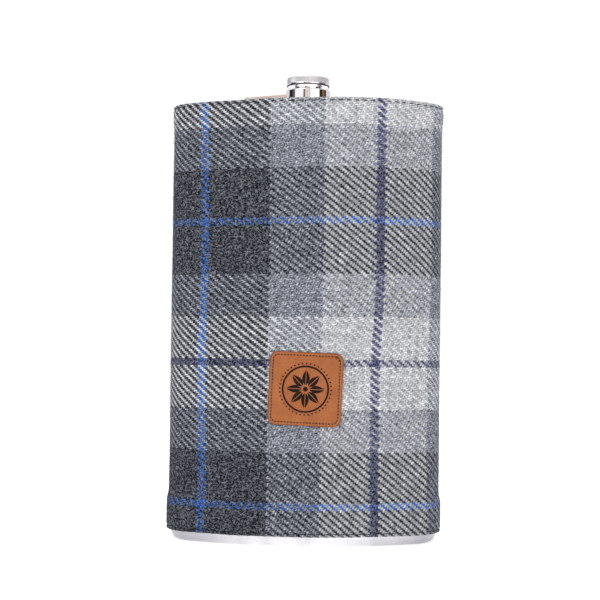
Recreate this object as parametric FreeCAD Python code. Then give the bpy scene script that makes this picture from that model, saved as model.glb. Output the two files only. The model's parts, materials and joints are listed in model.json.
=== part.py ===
"""Half-gallon steel hip flask with a captive screw cap, in a stitched tweed sleeve with a leather patch.

Millimetres, +Z up. The flask stands on z = 0 and the origin is the middle of the bounding box's floor.
The bowed front face looks along -Y, the hollow back face along +Y, and the cap's hinge lies towards -X.
"""

import FreeCAD
import Part
import math
import os

V = FreeCAD.Vector

# ---------------------------------------------------------------- driving dimensions
# Steel body, measured on its outer face.
HALF_WIDTH = 78.2
THICKNESS = 52.0  # at the middle of the body
FRONT_R = 130.2
SIDE_R = 22.0
BODY_TOP = 255.7
STEEL = 0.7
PAN_DEPTH = 9.0  # height of the pressed base, and of the pressed top
BASE_FILLET = 4.8
TOP_FILLET = 3.0
FOOT_WIDTH = 10.0  # ring that the flask stands on
RECESS_DEPTH = 1.6
RECESS_SLOPE = 2.0

# Sleeve: offsets are from the steel's outer face.
LINING = 0.4
CLOTH_OFFSET = 1.8
BOTTOM_HEM_OFFSET = 2.9
TOP_HEM_OFFSET = 2.6
SLEEVE_BOTTOM = 5.9
SLEEVE_TOP = 256.7
HEM_HEIGHT = 12.0
HEM_BLEND = 8.0
SEAM_GAP = 0.4

# Leather patch on the front.
PATCH_SIDE = 42.0
PATCH_CORNER_R = 5.0
PATCH_THICK = 1.6
PATCH_Z = 89.9
PATCH_X = 1.2
PATCH_TURN_DEG = 2.1  # clockwise, seen from the front
PATCH_STITCH_INSET = 1.9

# Threads: pitch along the seam, length of one stitch, radius, and how far its middle is under the surface.
HEM_STITCH = dict(pitch=4.8, length=3.3, radius=0.3, sunk=0.12)
PATCH_STITCH = dict(pitch=1.83, length=1.25, radius=0.25, sunk=0.08)
LADDER_STITCH = dict(pitch=5.0, length=3.0, radius=0.3, sunk=0.12)
HEM_STITCH_INSET = 1.7

# Neck and screw thread.
NECK_BORE_R = 7.4
NECK_R = 8.35
NECK_HEIGHT = 3.0  # above the top plate
NECK_LIP = 0.3
NECK_FLANGE_R = 11.0
NECK_FLANGE = 1.6
THREAD_PITCH = 1.5
THREAD_DEPTH = 0.65
THREAD_ROOT_SHARE = 0.72  # of the pitch
THREAD_CREST_SHARE = 0.24
THREAD_TURNS = 1.1
THREAD_GAP = 0.35  # between the crests of the two threads
UNSCREW_LIFT = 3.0

# Cap and captive arm.
HEAD_R = 12.43
HEAD_HEIGHT = 5.0
HEAD_CHAMFER = 0.8
HEAD_GAP = 2.1  # stem that shows between head and collar
STEM_R = 8.75
STEM_BOSS_R = 5.5
STEM_BOSS = 2.5
INSERT_R = 11.4
INSERT_BORE_R = 9.9
INSERT_FLOOR_GAP = 0.4
WEB = 0.8
SEAL_R = 9.2
SEAL = 0.9
SEAL_SLACK = 0.05
COLLAR_R = 13.05
COLLAR_WALL = 0.7
COLLAR_TOP_ABOVE_BODY = 9.2
COLLAR_FLOOR_GAP = 0.5
COLLAR_HOLE_R = 9.1
COLLAR_ROUND = 1.0
BAND_THICK = 0.35
BAND_BOTTOM = 0.8
BAND_HEIGHT = 2.8
ARM_SHEET = 0.8
ARM_HALF_WIDTH = 3.2
ARM_ROOT_HALF_WIDTH = 6.0  # where the arm meets the collar
ARM_TAPER_START = 4.0  # from the hinge
ARM_RISE = 1.6  # from the hinge to the collar

# Hinge.
HINGE_X = -35.9
HINGE_ABOVE_BODY = 3.1
PIN_R = 0.9
PIN_HEAD_R = 1.25
PIN_HEAD = 0.45
PIN_CLEARANCE = 0.05
LOBE_R = 1.45
ARM_END_GAP = 0.3
EAR_HALF_WIDTH = 1.5
EAR_THICK = 0.8
EAR_GAP = 0.15
BRACKET_LENGTH = 9.0
BRACKET_SHEET = 0.8

# ---------------------------------------------------------------- worked out from them
PATCH_STITCH_PROUD = PATCH_STITCH["radius"] - PATCH_STITCH["sunk"]
HEM_STITCH_PROUD = HEM_STITCH["radius"] - HEM_STITCH["sunk"]
SIDE_X = HALF_WIDTH - SIDE_R
SIDE_BEHIND_FRONT = FRONT_R - math.sqrt((FRONT_R - SIDE_R) ** 2 - SIDE_X**2)
# The back arc touches both side arcs and passes THICKNESS behind the front.
BACK_LAG = THICKNESS - SIDE_BEHIND_FRONT
BACK_R = (SIDE_X**2 + BACK_LAG**2 - SIDE_R**2) / (2 * (SIDE_R - BACK_LAG))

FRONT_REACH = CLOTH_OFFSET + PATCH_THICK + PATCH_STITCH_PROUD
BACK_REACH = SIDE_BEHIND_FRONT + SIDE_R + BOTTOM_HEM_OFFSET + HEM_STITCH_PROUD
FRONT_Y = (FRONT_REACH - BACK_REACH) / 2  # the steel's front, so that the box is centred on y = 0
NECK_Y = FRONT_Y + THICKNESS / 2
FRONT_CENTRE_Y = FRONT_Y + FRONT_R
SIDE_Y = FRONT_Y + SIDE_BEHIND_FRONT
BACK_Y = FRONT_Y + THICKNESS
BACK_CENTRE_Y = BACK_Y + BACK_R

PLATE_UNDER = BODY_TOP - STEEL
NECK_TOP = BODY_TOP + NECK_HEIGHT
THREAD_CREST_R = NECK_R + THREAD_DEPTH
INNER_CREST_R = THREAD_CREST_R + THREAD_GAP
INSERT_BOTTOM = BODY_TOP + INSERT_FLOOR_GAP
WEB_UNDER = NECK_TOP + SEAL + 2 * SEAL_SLACK
WEB_TOP = WEB_UNDER + WEB
COLLAR_TOP = BODY_TOP + COLLAR_TOP_ABOVE_BODY
HEAD_BOTTOM = COLLAR_TOP + HEAD_GAP
HINGE_Z = BODY_TOP + HINGE_ABOVE_BODY
HEM_TOP = SLEEVE_BOTTOM + HEM_HEIGHT
HEM_FOOT = SLEEVE_TOP - HEM_HEIGHT
NECK_THREAD_START = BODY_TOP + THREAD_PITCH / 2
CAP_THREAD_START = INSERT_BOTTOM + 0.4 * THREAD_PITCH
TINY = 0.05  # overlap that makes two shapes fuse
NEAR = 20.0  # reaches past the small parts on the top pan
FAR = 400.0  # reaches past the whole flask


# ---------------------------------------------------------------- helpers
def section(offset, z):
    """The body's outline at height z, offset outward from the steel: four arcs that run into each other."""
    front_r = FRONT_R + offset
    side_r = SIDE_R + offset
    back_r = BACK_R - offset
    to_side = V(SIDE_X, SIDE_Y - FRONT_CENTRE_Y, 0).normalize()
    from_back = V(SIDE_X, SIDE_Y - BACK_CENTRE_Y, 0).normalize()
    front_end = V(0, FRONT_CENTRE_Y, z) + to_side * front_r
    back_end = V(0, BACK_CENTRE_Y, z) + from_back * back_r
    side_mid = V(SIDE_X + side_r, SIDE_Y, z)

    def mirrored(p):
        return V(-p.x, p.y, p.z)

    arcs = [
        Part.Arc(mirrored(front_end), V(0, FRONT_CENTRE_Y - front_r, z), front_end),
        Part.Arc(front_end, side_mid, back_end),
        Part.Arc(back_end, V(0, BACK_CENTRE_Y - back_r, z), mirrored(back_end)),
        Part.Arc(mirrored(back_end), mirrored(side_mid), mirrored(front_end)),
    ]
    return Part.Wire([a.toShape() for a in arcs])


def block(offset, z0, z1):
    """A solid with the body's outline, from z0 to z1."""
    return Part.Face(section(offset, z0)).extrude(V(0, 0, z1 - z0))


def taper(offset0, z0, offset1, z1):
    """A solid that runs from one offset outline to another."""
    return Part.makeLoft([section(offset0, z0), section(offset1, z1)], True, True)


def rounded_block(offset, z0, z1, radius, edge_z):
    """A block whose edge at height edge_z is rounded."""
    shape = block(offset, z0, z1)
    rim = [e for e in shape.Edges if all(abs(v.Z - edge_z) < TINY for v in e.Vertexes)]
    return shape.makeFillet(radius, rim)


def turned(points):
    """A solid of revolution about the neck's axis, from (radius, z) points."""
    corners = [V(r, 0, z) for r, z in points]
    face = Part.Face(Part.makePolygon(corners + corners[:1]))
    shape = face.revolve(V(0, 0, 0), V(0, 0, 1), 360)
    return shape.translate(V(0, NECK_Y, 0))


def screw_ridge(root_r, crest_r, z0):
    """A right-hand helical ridge between two radii, starting at height z0."""
    half_root = THREAD_PITCH * THREAD_ROOT_SHARE / 2
    half_crest = THREAD_PITCH * THREAD_CREST_SHARE / 2
    profile = [
        V(root_r, 0, z0 - half_root),
        V(root_r, 0, z0 + half_root),
        V(crest_r, 0, z0 + half_crest),
        V(crest_r, 0, z0 - half_crest),
    ]
    helix = Part.makeHelix(THREAD_PITCH, THREAD_PITCH * THREAD_TURNS, root_r)
    helix.translate(V(0, 0, z0))
    ridge = Part.Wire(helix).makePipeShell([Part.makePolygon(profile + profile[:1])], True, True)
    return ridge.translate(V(0, NECK_Y, 0))


def box(x0, x1, y0, y1, z0, z1):
    """An axis-aligned box."""
    return Part.makeBox(x1 - x0, y1 - y0, z1 - z0, V(x0, y0, z0))


def stitch(start, end, radius):
    """One straight stitch between two points."""
    along = end - start
    return Part.makeCylinder(radius, along.Length, start, along)


def stitches_along(points, length, radius, **_):
    """One stitch in the middle of each gap between neighbouring points."""
    made = []
    for a, b in zip(points, points[1:]):
        spare = (1 - length / (b - a).Length) / 2
        made.append(stitch(a + (b - a) * spare, b - (b - a) * spare, radius))
    return Part.makeCompound(made)


def save(name, shape):
    """Writes one node."""
    shape.exportStep("parts/%s.step" % name)
    print("%-20s solids %3d  volume %10.1f  valid %s" % (name, len(shape.Solids), shape.Volume, shape.isValid()))


# ---------------------------------------------------------------- steel body
def base_pan():
    """The pressed base: rounded edge, a ring to stand on and a floor pushed up inside it."""
    outer = rounded_block(0, 0, PAN_DEPTH, BASE_FILLET, 0)
    recess = taper(-FOOT_WIDTH, 0, -FOOT_WIDTH - RECESS_SLOPE, RECESS_DEPTH)
    inner = rounded_block(-STEEL, STEEL, PAN_DEPTH, BASE_FILLET - STEEL, STEEL)
    raised = taper(
        -FOOT_WIDTH + STEEL, STEEL, -FOOT_WIDTH - RECESS_SLOPE + STEEL, RECESS_DEPTH + STEEL
    )
    return outer.cut(recess).cut(inner.cut(raised))


def top_pan():
    """The pressed top, with the hole that the neck stands in."""
    foot = BODY_TOP - PAN_DEPTH
    outer = rounded_block(0, foot, BODY_TOP, TOP_FILLET, BODY_TOP)
    inner = rounded_block(-STEEL, foot, PLATE_UNDER, TOP_FILLET - STEEL, PLATE_UNDER)
    hole = Part.makeCylinder(NECK_R, FAR, V(0, NECK_Y, 0))
    return outer.cut(inner).cut(hole)


def body_wall():
    """The formed sheet between base and top."""
    z0 = PAN_DEPTH
    z1 = BODY_TOP - PAN_DEPTH
    return block(0, z0, z1).cut(block(-STEEL, z0, z1))


def neck():
    """The threaded mouth, welded in from below by its flange."""
    flange_bottom = PLATE_UNDER - NECK_FLANGE
    tube = turned([
        (NECK_BORE_R, flange_bottom),
        (NECK_FLANGE_R, flange_bottom),
        (NECK_FLANGE_R, PLATE_UNDER),
        (NECK_R, PLATE_UNDER),
        (NECK_R, NECK_TOP - NECK_LIP),
        (NECK_R - NECK_LIP, NECK_TOP),
        (NECK_BORE_R, NECK_TOP),
    ])
    return tube.fuse(screw_ridge(NECK_R - TINY, THREAD_CREST_R, NECK_THREAD_START))


# ---------------------------------------------------------------- hinge
def hinge_bracket():
    """A folded sheet with two ears, spot-welded to the top."""
    ear_inner = ARM_HALF_WIDTH + EAR_GAP
    ear_outer = ear_inner + EAR_THICK
    half = BRACKET_LENGTH / 2
    shape = box(HINGE_X - half, HINGE_X + half, NECK_Y - ear_outer, NECK_Y + ear_outer,
                BODY_TOP, BODY_TOP + BRACKET_SHEET)
    for side in (-1, 1):
        y0 = NECK_Y + (ear_inner if side > 0 else -ear_outer)
        ear = box(HINGE_X - EAR_HALF_WIDTH, HINGE_X + EAR_HALF_WIDTH, y0, y0 + EAR_THICK,
                  BODY_TOP, HINGE_Z)
        crown = Part.makeCylinder(EAR_HALF_WIDTH, EAR_THICK, V(HINGE_X, y0, HINGE_Z), V(0, 1, 0))
        shape = shape.fuse([ear, crown])
    hole = Part.makeCylinder(PIN_R, FAR, V(HINGE_X, -FAR / 2, HINGE_Z), V(0, 1, 0))
    return shape.cut(hole).removeSplitter()


def hinge_pin():
    """The pin through both ears, with a peened head at each end."""
    outer = ARM_HALF_WIDTH + EAR_GAP + EAR_THICK
    pin = Part.makeCylinder(PIN_R, 2 * outer, V(HINGE_X, NECK_Y - outer, HINGE_Z), V(0, 1, 0))
    for side in (-1, 1):
        root = V(HINGE_X, NECK_Y + side * outer, HINGE_Z)
        head = Part.makeCone(PIN_HEAD_R, PIN_R, PIN_HEAD, root, V(0, side, 0))
        pin = pin.fuse(head)
    return pin


# ---------------------------------------------------------------- captive arm
def collar_cup():
    """The drawn collar that hides the thread; the cap's stem passes through its top."""
    bottom = BODY_TOP + COLLAR_FLOOR_GAP
    inner_r = COLLAR_R - COLLAR_WALL
    inner_top = COLLAR_TOP - COLLAR_WALL
    outer = Part.makeCylinder(COLLAR_R, COLLAR_TOP - bottom, V(0, NECK_Y, bottom))
    outer = outer.makeFillet(COLLAR_ROUND, [e for e in outer.Edges if e.BoundBox.ZMin > COLLAR_TOP - TINY])
    inside = Part.makeCylinder(inner_r, inner_top - bottom, V(0, NECK_Y, bottom))
    hole = Part.makeCylinder(COLLAR_HOLE_R, FAR, V(0, NECK_Y, bottom))
    return outer.cut(inside).cut(hole)


def arm_plan(inset, z0, z1):
    """The arm seen from above, inset from its edges: parallel at the hinge, then widening to the collar."""
    narrow = ARM_HALF_WIDTH - inset
    wide = ARM_ROOT_HALF_WIDTH - inset
    x0 = HINGE_X - FAR / 2
    x1 = HINGE_X + ARM_TAPER_START
    half = [(x0, narrow), (x1, narrow), (0, wide)]
    corners = [V(x, NECK_Y + y, z0) for x, y in half] + [V(x, NECK_Y - y, z0) for x, y in reversed(half)]
    return Part.Face(Part.makePolygon(corners + corners[:1])).extrude(V(0, 0, z1 - z0))


def arm_strap():
    """A folded channel from the hinge to the collar, ending in a band round the collar."""
    def side(drop, x0):
        """The channel's side view from x0 to the collar, with its top lowered by drop."""
        y0 = NECK_Y - FAR / 2
        corners = [
            V(x0, y0, HINGE_Z + LOBE_R - drop),
            V(0, y0, HINGE_Z + LOBE_R + ARM_RISE * HINGE_X / (HINGE_X + COLLAR_R) - drop),
            V(0, y0, HINGE_Z),
            V(x0, y0, HINGE_Z - (LOBE_R if drop == 0 else FAR / 8)),
        ]
        if drop:
            corners[2].z = corners[3].z
        return Part.Face(Part.makePolygon(corners + corners[:1])).extrude(V(0, FAR, 0))

    low = BODY_TOP - NEAR
    high = BODY_TOP + NEAR
    plate = side(0, HINGE_X).common(arm_plan(0, low, high))
    lobe = Part.makeCylinder(LOBE_R, 2 * ARM_HALF_WIDTH, V(HINGE_X, NECK_Y - ARM_HALF_WIDTH, HINGE_Z), V(0, 1, 0))
    hollow = side(ARM_SHEET, HINGE_X - FAR / 8).common(arm_plan(ARM_SHEET, low, high))
    end_cut = LOBE_R + ARM_END_GAP  # the top sheet stops short of the pin, so that it clears the bracket
    notch = box(HINGE_X - NEAR, HINGE_X + end_cut, NECK_Y - ARM_HALF_WIDTH + ARM_SHEET,
                NECK_Y + ARM_HALF_WIDTH - ARM_SHEET, low, high)
    pin_hole = Part.makeCylinder(PIN_R + PIN_CLEARANCE, FAR, V(HINGE_X, -FAR / 2, HINGE_Z), V(0, 1, 0))
    band_z = BODY_TOP + BAND_BOTTOM
    band = Part.makeCylinder(COLLAR_R + BAND_THICK, BAND_HEIGHT, V(0, NECK_Y, band_z))
    collar = Part.makeCylinder(COLLAR_R, FAR, V(0, NECK_Y, 0))
    arm = plate.fuse(lobe).cut(hollow).cut(notch).fuse(band)
    return arm.cut(collar).cut(pin_hole).removeSplitter()


# ---------------------------------------------------------------- cap
def cap_head():
    """The grip: a thick disc with a socket for the stem."""
    top = HEAD_BOTTOM + HEAD_HEIGHT
    c = HEAD_CHAMFER
    return turned([
        (0, HEAD_BOTTOM + STEM_BOSS),
        (STEM_BOSS_R, HEAD_BOTTOM + STEM_BOSS),
        (STEM_BOSS_R, HEAD_BOTTOM),
        (HEAD_R - c / 2, HEAD_BOTTOM),
        (HEAD_R, HEAD_BOTTOM + c / 2),
        (HEAD_R, top - c),
        (HEAD_R - c, top),
        (0, top),
    ])


def cap_insert():
    """The threaded socket with the stem that is pressed into the head."""
    shell = turned([
        (0, WEB_UNDER),
        (INSERT_BORE_R, WEB_UNDER),
        (INSERT_BORE_R, INSERT_BOTTOM),
        (INSERT_R, INSERT_BOTTOM),
        (INSERT_R, WEB_TOP),
        (STEM_R, WEB_TOP),
        (STEM_R, HEAD_BOTTOM),
        (STEM_BOSS_R, HEAD_BOTTOM),
        (STEM_BOSS_R, HEAD_BOTTOM + STEM_BOSS),
        (0, HEAD_BOTTOM + STEM_BOSS),
    ])
    return shell.fuse(screw_ridge(INSERT_BORE_R + TINY, INNER_CREST_R, CAP_THREAD_START))


def cap_seal():
    """The soft disc between the neck's rim and the cap."""
    z = NECK_TOP + SEAL_SLACK
    return Part.makeCylinder(SEAL_R, SEAL, V(0, NECK_Y, z))


# ---------------------------------------------------------------- sleeve
def tweed_sleeve():
    """One length of cloth round the body, doubled at both hems, its ends meeting at the back."""
    bottom_hem = block(BOTTOM_HEM_OFFSET, SLEEVE_BOTTOM, HEM_TOP)
    bottom_run = taper(BOTTOM_HEM_OFFSET, HEM_TOP, CLOTH_OFFSET, HEM_TOP + HEM_BLEND)
    middle = block(CLOTH_OFFSET, HEM_TOP + HEM_BLEND, HEM_FOOT - HEM_BLEND)
    top_run = taper(CLOTH_OFFSET, HEM_FOOT - HEM_BLEND, TOP_HEM_OFFSET, HEM_FOOT)
    top_hem = block(TOP_HEM_OFFSET, HEM_FOOT, SLEEVE_TOP)
    cloth = bottom_hem.fuse([bottom_run, middle, top_run, top_hem])
    inside = block(0, SLEEVE_BOTTOM, SLEEVE_TOP)
    lining_room = block(LINING, HEM_TOP, HEM_FOOT)
    seam = box(-SEAM_GAP / 2, SEAM_GAP / 2, BACK_Y, FAR, 0, FAR)
    return cloth.cut(inside).cut(lining_room).cut(seam)


def sleeve_lining():
    """The thin felt between steel and cloth."""
    return block(LINING, HEM_TOP, HEM_FOOT).cut(block(0, HEM_TOP, HEM_FOOT))


def hem_thread(offset, z):
    """Topstitching all round at height z."""
    line = section(offset - HEM_STITCH["sunk"], z)
    count = round(line.Length / HEM_STITCH["pitch"])
    points = line.discretize(Number=count + 1)
    return stitches_along(points, **HEM_STITCH)


def back_seam_thread():
    """Ladder stitches that draw the cloth's two ends together."""
    z0 = SLEEVE_BOTTOM + HEM_HEIGHT + HEM_BLEND
    z1 = SLEEVE_TOP - HEM_HEIGHT - HEM_BLEND
    count = int((z1 - z0) / LADDER_STITCH["pitch"])
    y = BACK_Y + CLOTH_OFFSET - LADDER_STITCH["sunk"]
    half = LADDER_STITCH["length"] / 2
    rungs = []
    for i in range(count + 1):
        z = z0 + i * (z1 - z0) / count
        rungs.append(stitch(V(-half, y, z), V(half, y, z), LADDER_STITCH["radius"]))
    return Part.makeCompound(rungs)


# ---------------------------------------------------------------- leather patch
def rounded_square(side, radius, y):
    """A rounded square in the plane y, about its own middle."""
    h = side / 2
    k = h - radius
    m = radius * math.sqrt(0.5)
    edges = []
    for turn in range(4):
        a = math.radians(90 * turn)

        def at(px, pz):
            return V(px * math.cos(a) - pz * math.sin(a), y, px * math.sin(a) + pz * math.cos(a))

        edges.append(Part.LineSegment(at(h, -k), at(h, k)).toShape())
        edges.append(Part.Arc(at(h, k), at(k + m, k + m), at(k, h)).toShape())
    return Part.Wire(edges)


def on_patch(shape):
    """Turns and moves a shape from the patch's own middle to its place on the front."""
    shape = shape.copy()
    shape.rotate(V(0, 0, 0), V(0, 1, 0), PATCH_TURN_DEG)
    shape.translate(V(PATCH_X, 0, PATCH_Z))
    return shape


def leather_patch():
    """A square of leather bent to the front of the sleeve."""
    back_r = FRONT_R + CLOTH_OFFSET
    pad = on_patch(Part.Face(rounded_square(PATCH_SIDE, PATCH_CORNER_R, -FAR / 4)).extrude(V(0, FAR / 4, 0)))
    axis = V(0, FRONT_CENTRE_Y, 0)
    shell = Part.makeCylinder(back_r + PATCH_THICK, FAR, axis).cut(Part.makeCylinder(back_r, FAR, axis))
    return shell.common(pad)


def patch_thread():
    """The row of small stitches inside the patch's edge."""
    side = PATCH_SIDE - 2 * PATCH_STITCH_INSET
    path = on_patch(rounded_square(side, PATCH_CORNER_R - PATCH_STITCH_INSET, 0))
    count = round(path.Length / PATCH_STITCH["pitch"])
    face_r = FRONT_R + CLOTH_OFFSET + PATCH_THICK - PATCH_STITCH["sunk"]
    points = []
    for p in path.discretize(Number=count + 1):
        points.append(V(p.x, FRONT_CENTRE_Y - math.sqrt(face_r**2 - p.x**2), p.z))
    return stitches_along(points, **PATCH_STITCH)


def main():
    os.makedirs("parts", exist_ok=True)
    save("base_pan", base_pan())
    save("body_wall", body_wall())
    save("top_pan", top_pan())
    save("neck", neck())
    save("hinge_bracket", hinge_bracket())
    save("hinge_pin", hinge_pin())
    save("collar_cup", collar_cup())
    save("arm_strap", arm_strap())
    save("cap_head", cap_head())
    save("cap_insert", cap_insert())
    save("cap_seal", cap_seal())
    save("tweed_sleeve", tweed_sleeve())
    save("sleeve_lining", sleeve_lining())
    save("top_hem_thread", hem_thread(TOP_HEM_OFFSET, SLEEVE_TOP - HEM_STITCH_INSET))
    save("bottom_hem_thread", hem_thread(BOTTOM_HEM_OFFSET, SLEEVE_BOTTOM + HEM_STITCH_INSET))
    save("back_seam_thread", back_seam_thread())
    save("leather_patch", leather_patch())
    save("patch_thread", patch_thread())
    cavity = Part.Face(section(-STEEL, 0)).Area * (PLATE_UNDER - STEEL)
    print("neck y %.3f  hinge z %.3f  back radius %.1f  capacity about %.2f litres" % (
        NECK_Y, HINGE_Z, BACK_R, cavity / 1e6))


main()
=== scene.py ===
"""The looks of the half-gallon hip flask: woven tweed, leather patch, stitching and polished steel.

Metres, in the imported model's frame: +Z up, the bowed front faces -Y and the cap's hinge lies towards -X.
"""

import json
import math

import bmesh
import bpy
import numpy as np
from mathutils import Euler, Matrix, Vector


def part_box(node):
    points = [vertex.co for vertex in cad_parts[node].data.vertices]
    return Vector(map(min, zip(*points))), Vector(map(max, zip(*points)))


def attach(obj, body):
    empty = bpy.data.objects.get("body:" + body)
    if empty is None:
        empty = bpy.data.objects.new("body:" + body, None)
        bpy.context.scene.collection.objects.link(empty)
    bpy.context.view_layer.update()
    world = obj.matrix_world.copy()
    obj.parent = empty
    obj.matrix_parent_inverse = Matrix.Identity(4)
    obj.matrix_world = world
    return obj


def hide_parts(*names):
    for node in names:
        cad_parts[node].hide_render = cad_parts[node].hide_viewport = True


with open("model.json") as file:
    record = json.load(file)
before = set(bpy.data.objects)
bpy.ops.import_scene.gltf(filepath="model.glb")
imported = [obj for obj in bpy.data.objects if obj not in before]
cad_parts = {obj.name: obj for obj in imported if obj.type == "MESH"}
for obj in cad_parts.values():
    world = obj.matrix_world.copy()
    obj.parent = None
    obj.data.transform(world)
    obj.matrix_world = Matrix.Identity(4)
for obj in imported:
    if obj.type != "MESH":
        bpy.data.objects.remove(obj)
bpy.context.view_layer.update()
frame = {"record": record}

MM = 0.001

# ---------------------------------------------------------------- the body's outline
# Four arcs that run into each other, as the steel was formed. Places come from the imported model.
WALL_LOW, WALL_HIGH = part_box("body_wall")
SLEEVE_LOW, SLEEVE_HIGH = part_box("tweed_sleeve")
PATCH_LOW, PATCH_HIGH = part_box("leather_patch")
HEAD_LOW, HEAD_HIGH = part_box("cap_head")
FRONT_R = 130.2 * MM
SIDE_R = 22.0 * MM
THICKNESS = 52.0 * MM
HALF_WIDTH = WALL_HIGH[0]
FRONT_Y = WALL_LOW[1]
SIDE_X = HALF_WIDTH - SIDE_R
SIDE_BEHIND_FRONT = FRONT_R - math.sqrt((FRONT_R - SIDE_R) ** 2 - SIDE_X**2)
BACK_LAG = THICKNESS - SIDE_BEHIND_FRONT
BACK_R = (SIDE_X**2 + BACK_LAG**2 - SIDE_R**2) / (2 * (SIDE_R - BACK_LAG))
FRONT_CENTRE_Y = FRONT_Y + FRONT_R
SIDE_Y = FRONT_Y + SIDE_BEHIND_FRONT
BACK_CENTRE_Y = FRONT_Y + THICKNESS + BACK_R
FRONT_TURN = math.asin(SIDE_X / (FRONT_R - SIDE_R))  # half the front arc
BACK_TURN = math.asin(SIDE_X / (BACK_R + SIDE_R))  # half the back arc

# ---------------------------------------------------------------- the cloth
CLOTH = 1.75 * MM  # its outer face stands this far off the steel
BOTTOM_HEM = 2.85 * MM  # so far at the hems, which are thicker
TOP_HEM = 2.35 * MM
HEM_INNER = 0.25 * MM  # the turned-in cloth's distance off the steel
BOTTOM_HEM_FULL, BOTTOM_HEM_GONE = 22 * MM, 30 * MM
TOP_HEM_GONE, TOP_HEM_FULL = 240 * MM, 250 * MM
HEM_TURNING = 10 * MM  # cloth folded up inside the hem
STITCH_INSET = 1.75 * MM  # from the hem's edge to its stitches
STITCH_GROOVE = 0.8 * MM  # how deep the stitches draw the cloth in
STITCH_GROOVE_WIDTH = 0.7 * MM
SKEW = 1.05 * MM  # how far the sleeve's top sits askew
SEAM_DIP = 0.55 * MM  # how far the cloth sinks in at the back seam
RELIEF = 0.32 * MM  # from the bottom of the weave's gaps to the crowns of its threads
WARP_PITCH = 1.317 * MM
WEFT_PITCH = 1.02 * MM
SEAM_TURNING = 3  # threads folded in at each side of the back seam

# One sett of 160 threads, used for warp and weft: (colour, threads).
SETT = [
    ("dark", 28),
    ("blue", 4),
    ("dark", 28),
    ("mid", 24),
    ("light", 24),
    ("purple", 4),
    ("light", 24),
    ("mid", 24),
]
THREADS = sum(n for _, n in SETT)
BLUE_CENTRE = 30.0  # the sett's thread in the middle of its blue stripe
BLUE_WARP_S = -61.75 * MM  # the blue warp stripe on the front
BLUE_WEFT_Z = 186.9 * MM  # the upper blue weft stripe

# Each yarn's colour, and how mixed its fibres are: 1 is a strong heather, 0 is plain.
YARN = {
    "dark": (0.0140, 0.0158, 0.0225, 1.0),
    "mid": (0.235, 0.250, 0.288, 1.0),
    "light": (0.615, 0.625, 0.635, 0.26),
    "blue": (0.008, 0.098, 0.40, 0.5),
    "purple": (0.066, 0.068, 0.175, 0.9),
}


def outline(s, offset):
    """Points and outward normals of the outline.

    s is the arc length from the front's middle, positive to the right, measured on the cloth's face.
    """
    s, offset = np.broadcast_arrays(np.asarray(s, float), np.asarray(offset, float))
    side = np.sign(s) + (s == 0)
    a = np.abs(s)
    front_len = (FRONT_R + CLOTH) * FRONT_TURN
    side_sweep = math.pi + BACK_TURN - FRONT_TURN
    side_len = (SIDE_R + CLOTH) * side_sweep
    on_front = a <= front_len
    on_back = a > front_len + side_len
    front = a / (FRONT_R + CLOTH)
    beside = FRONT_TURN + (a - front_len) / (SIDE_R + CLOTH)
    back = BACK_TURN - (a - front_len - side_len) / (BACK_R - CLOTH)
    turn = np.where(on_front, front, np.where(on_back, back, beside))
    cx = np.where(on_front | on_back, 0, SIDE_X)
    cy = np.where(on_front, FRONT_CENTRE_Y, np.where(on_back, BACK_CENTRE_Y, SIDE_Y))
    radius = np.where(on_front, FRONT_R + offset, np.where(on_back, BACK_R - offset, SIDE_R + offset))
    dx, dy = np.sin(turn), -np.cos(turn)
    flip = np.where(on_back, -1, 1)
    return side * (cx + radius * dx), cy + radius * dy, side * dx * flip, dy * flip


def half_outline():
    """Half of the outline's length on the cloth's face."""
    side_sweep = math.pi + BACK_TURN - FRONT_TURN
    return (FRONT_R + CLOTH) * FRONT_TURN + (SIDE_R + CLOTH) * side_sweep + (BACK_R - CLOTH) * BACK_TURN


def ease(x, low, high):
    """0 below low, 1 above high, smooth between."""
    t = np.clip((x - low) / (high - low), 0, 1)
    return t * t * (3 - 2 * t)


def waves(x, y, seed, size, octaves=3):
    """Smooth unevenness between about -1 and 1, as a sum of a few sine waves."""
    rng = np.random.default_rng(seed)
    total = np.zeros(np.broadcast(x, y).shape)
    for k in range(octaves):
        for _ in range(4):
            turn, phase = rng.uniform(0, 2 * math.pi, 2)
            step = 2 * math.pi / size * 1.7**k * rng.uniform(0.7, 1.3)
            total += np.sin((x * math.cos(turn) + y * math.sin(turn)) * step + phase) / 1.6**k
    return total / 5


# ---------------------------------------------------------------- meshes
def grid_mesh(name, points, wrap=False, attributes=None):
    """A sheet of quads from points[row, column]; wrap joins the last column to the first."""
    rows, cols = points.shape[:2]
    mesh = bpy.data.meshes.new(name)
    mesh.vertices.add(rows * cols)
    mesh.vertices.foreach_set("co", points.reshape(-1).astype(np.float32))
    index = np.arange(rows * cols).reshape(rows, cols)
    if wrap:
        index = np.concatenate([index, index[:, :1]], axis=1)
    corners = [index[:-1, :-1], index[:-1, 1:], index[1:, 1:], index[1:, :-1]]
    quads = np.stack(corners, axis=-1).reshape(-1, 4)
    mesh.loops.add(quads.size)
    mesh.loops.foreach_set("vertex_index", quads.reshape(-1).astype(np.int32))
    mesh.polygons.add(len(quads))
    mesh.polygons.foreach_set("loop_start", np.arange(0, quads.size, 4, dtype=np.int32))
    for key, values in (attributes or {}).items():
        kind = "FLOAT_VECTOR" if values.ndim == 3 else "FLOAT"
        layer = mesh.attributes.new(key, kind, "POINT")
        field = "vector" if values.ndim == 3 else "value"
        layer.data.foreach_set(field, values.reshape(-1).astype(np.float32))
    mesh.update()
    mesh.validate()
    mesh.shade_smooth()
    obj = bpy.data.objects.new(name, mesh)
    bpy.context.collection.objects.link(obj)
    return obj


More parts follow.
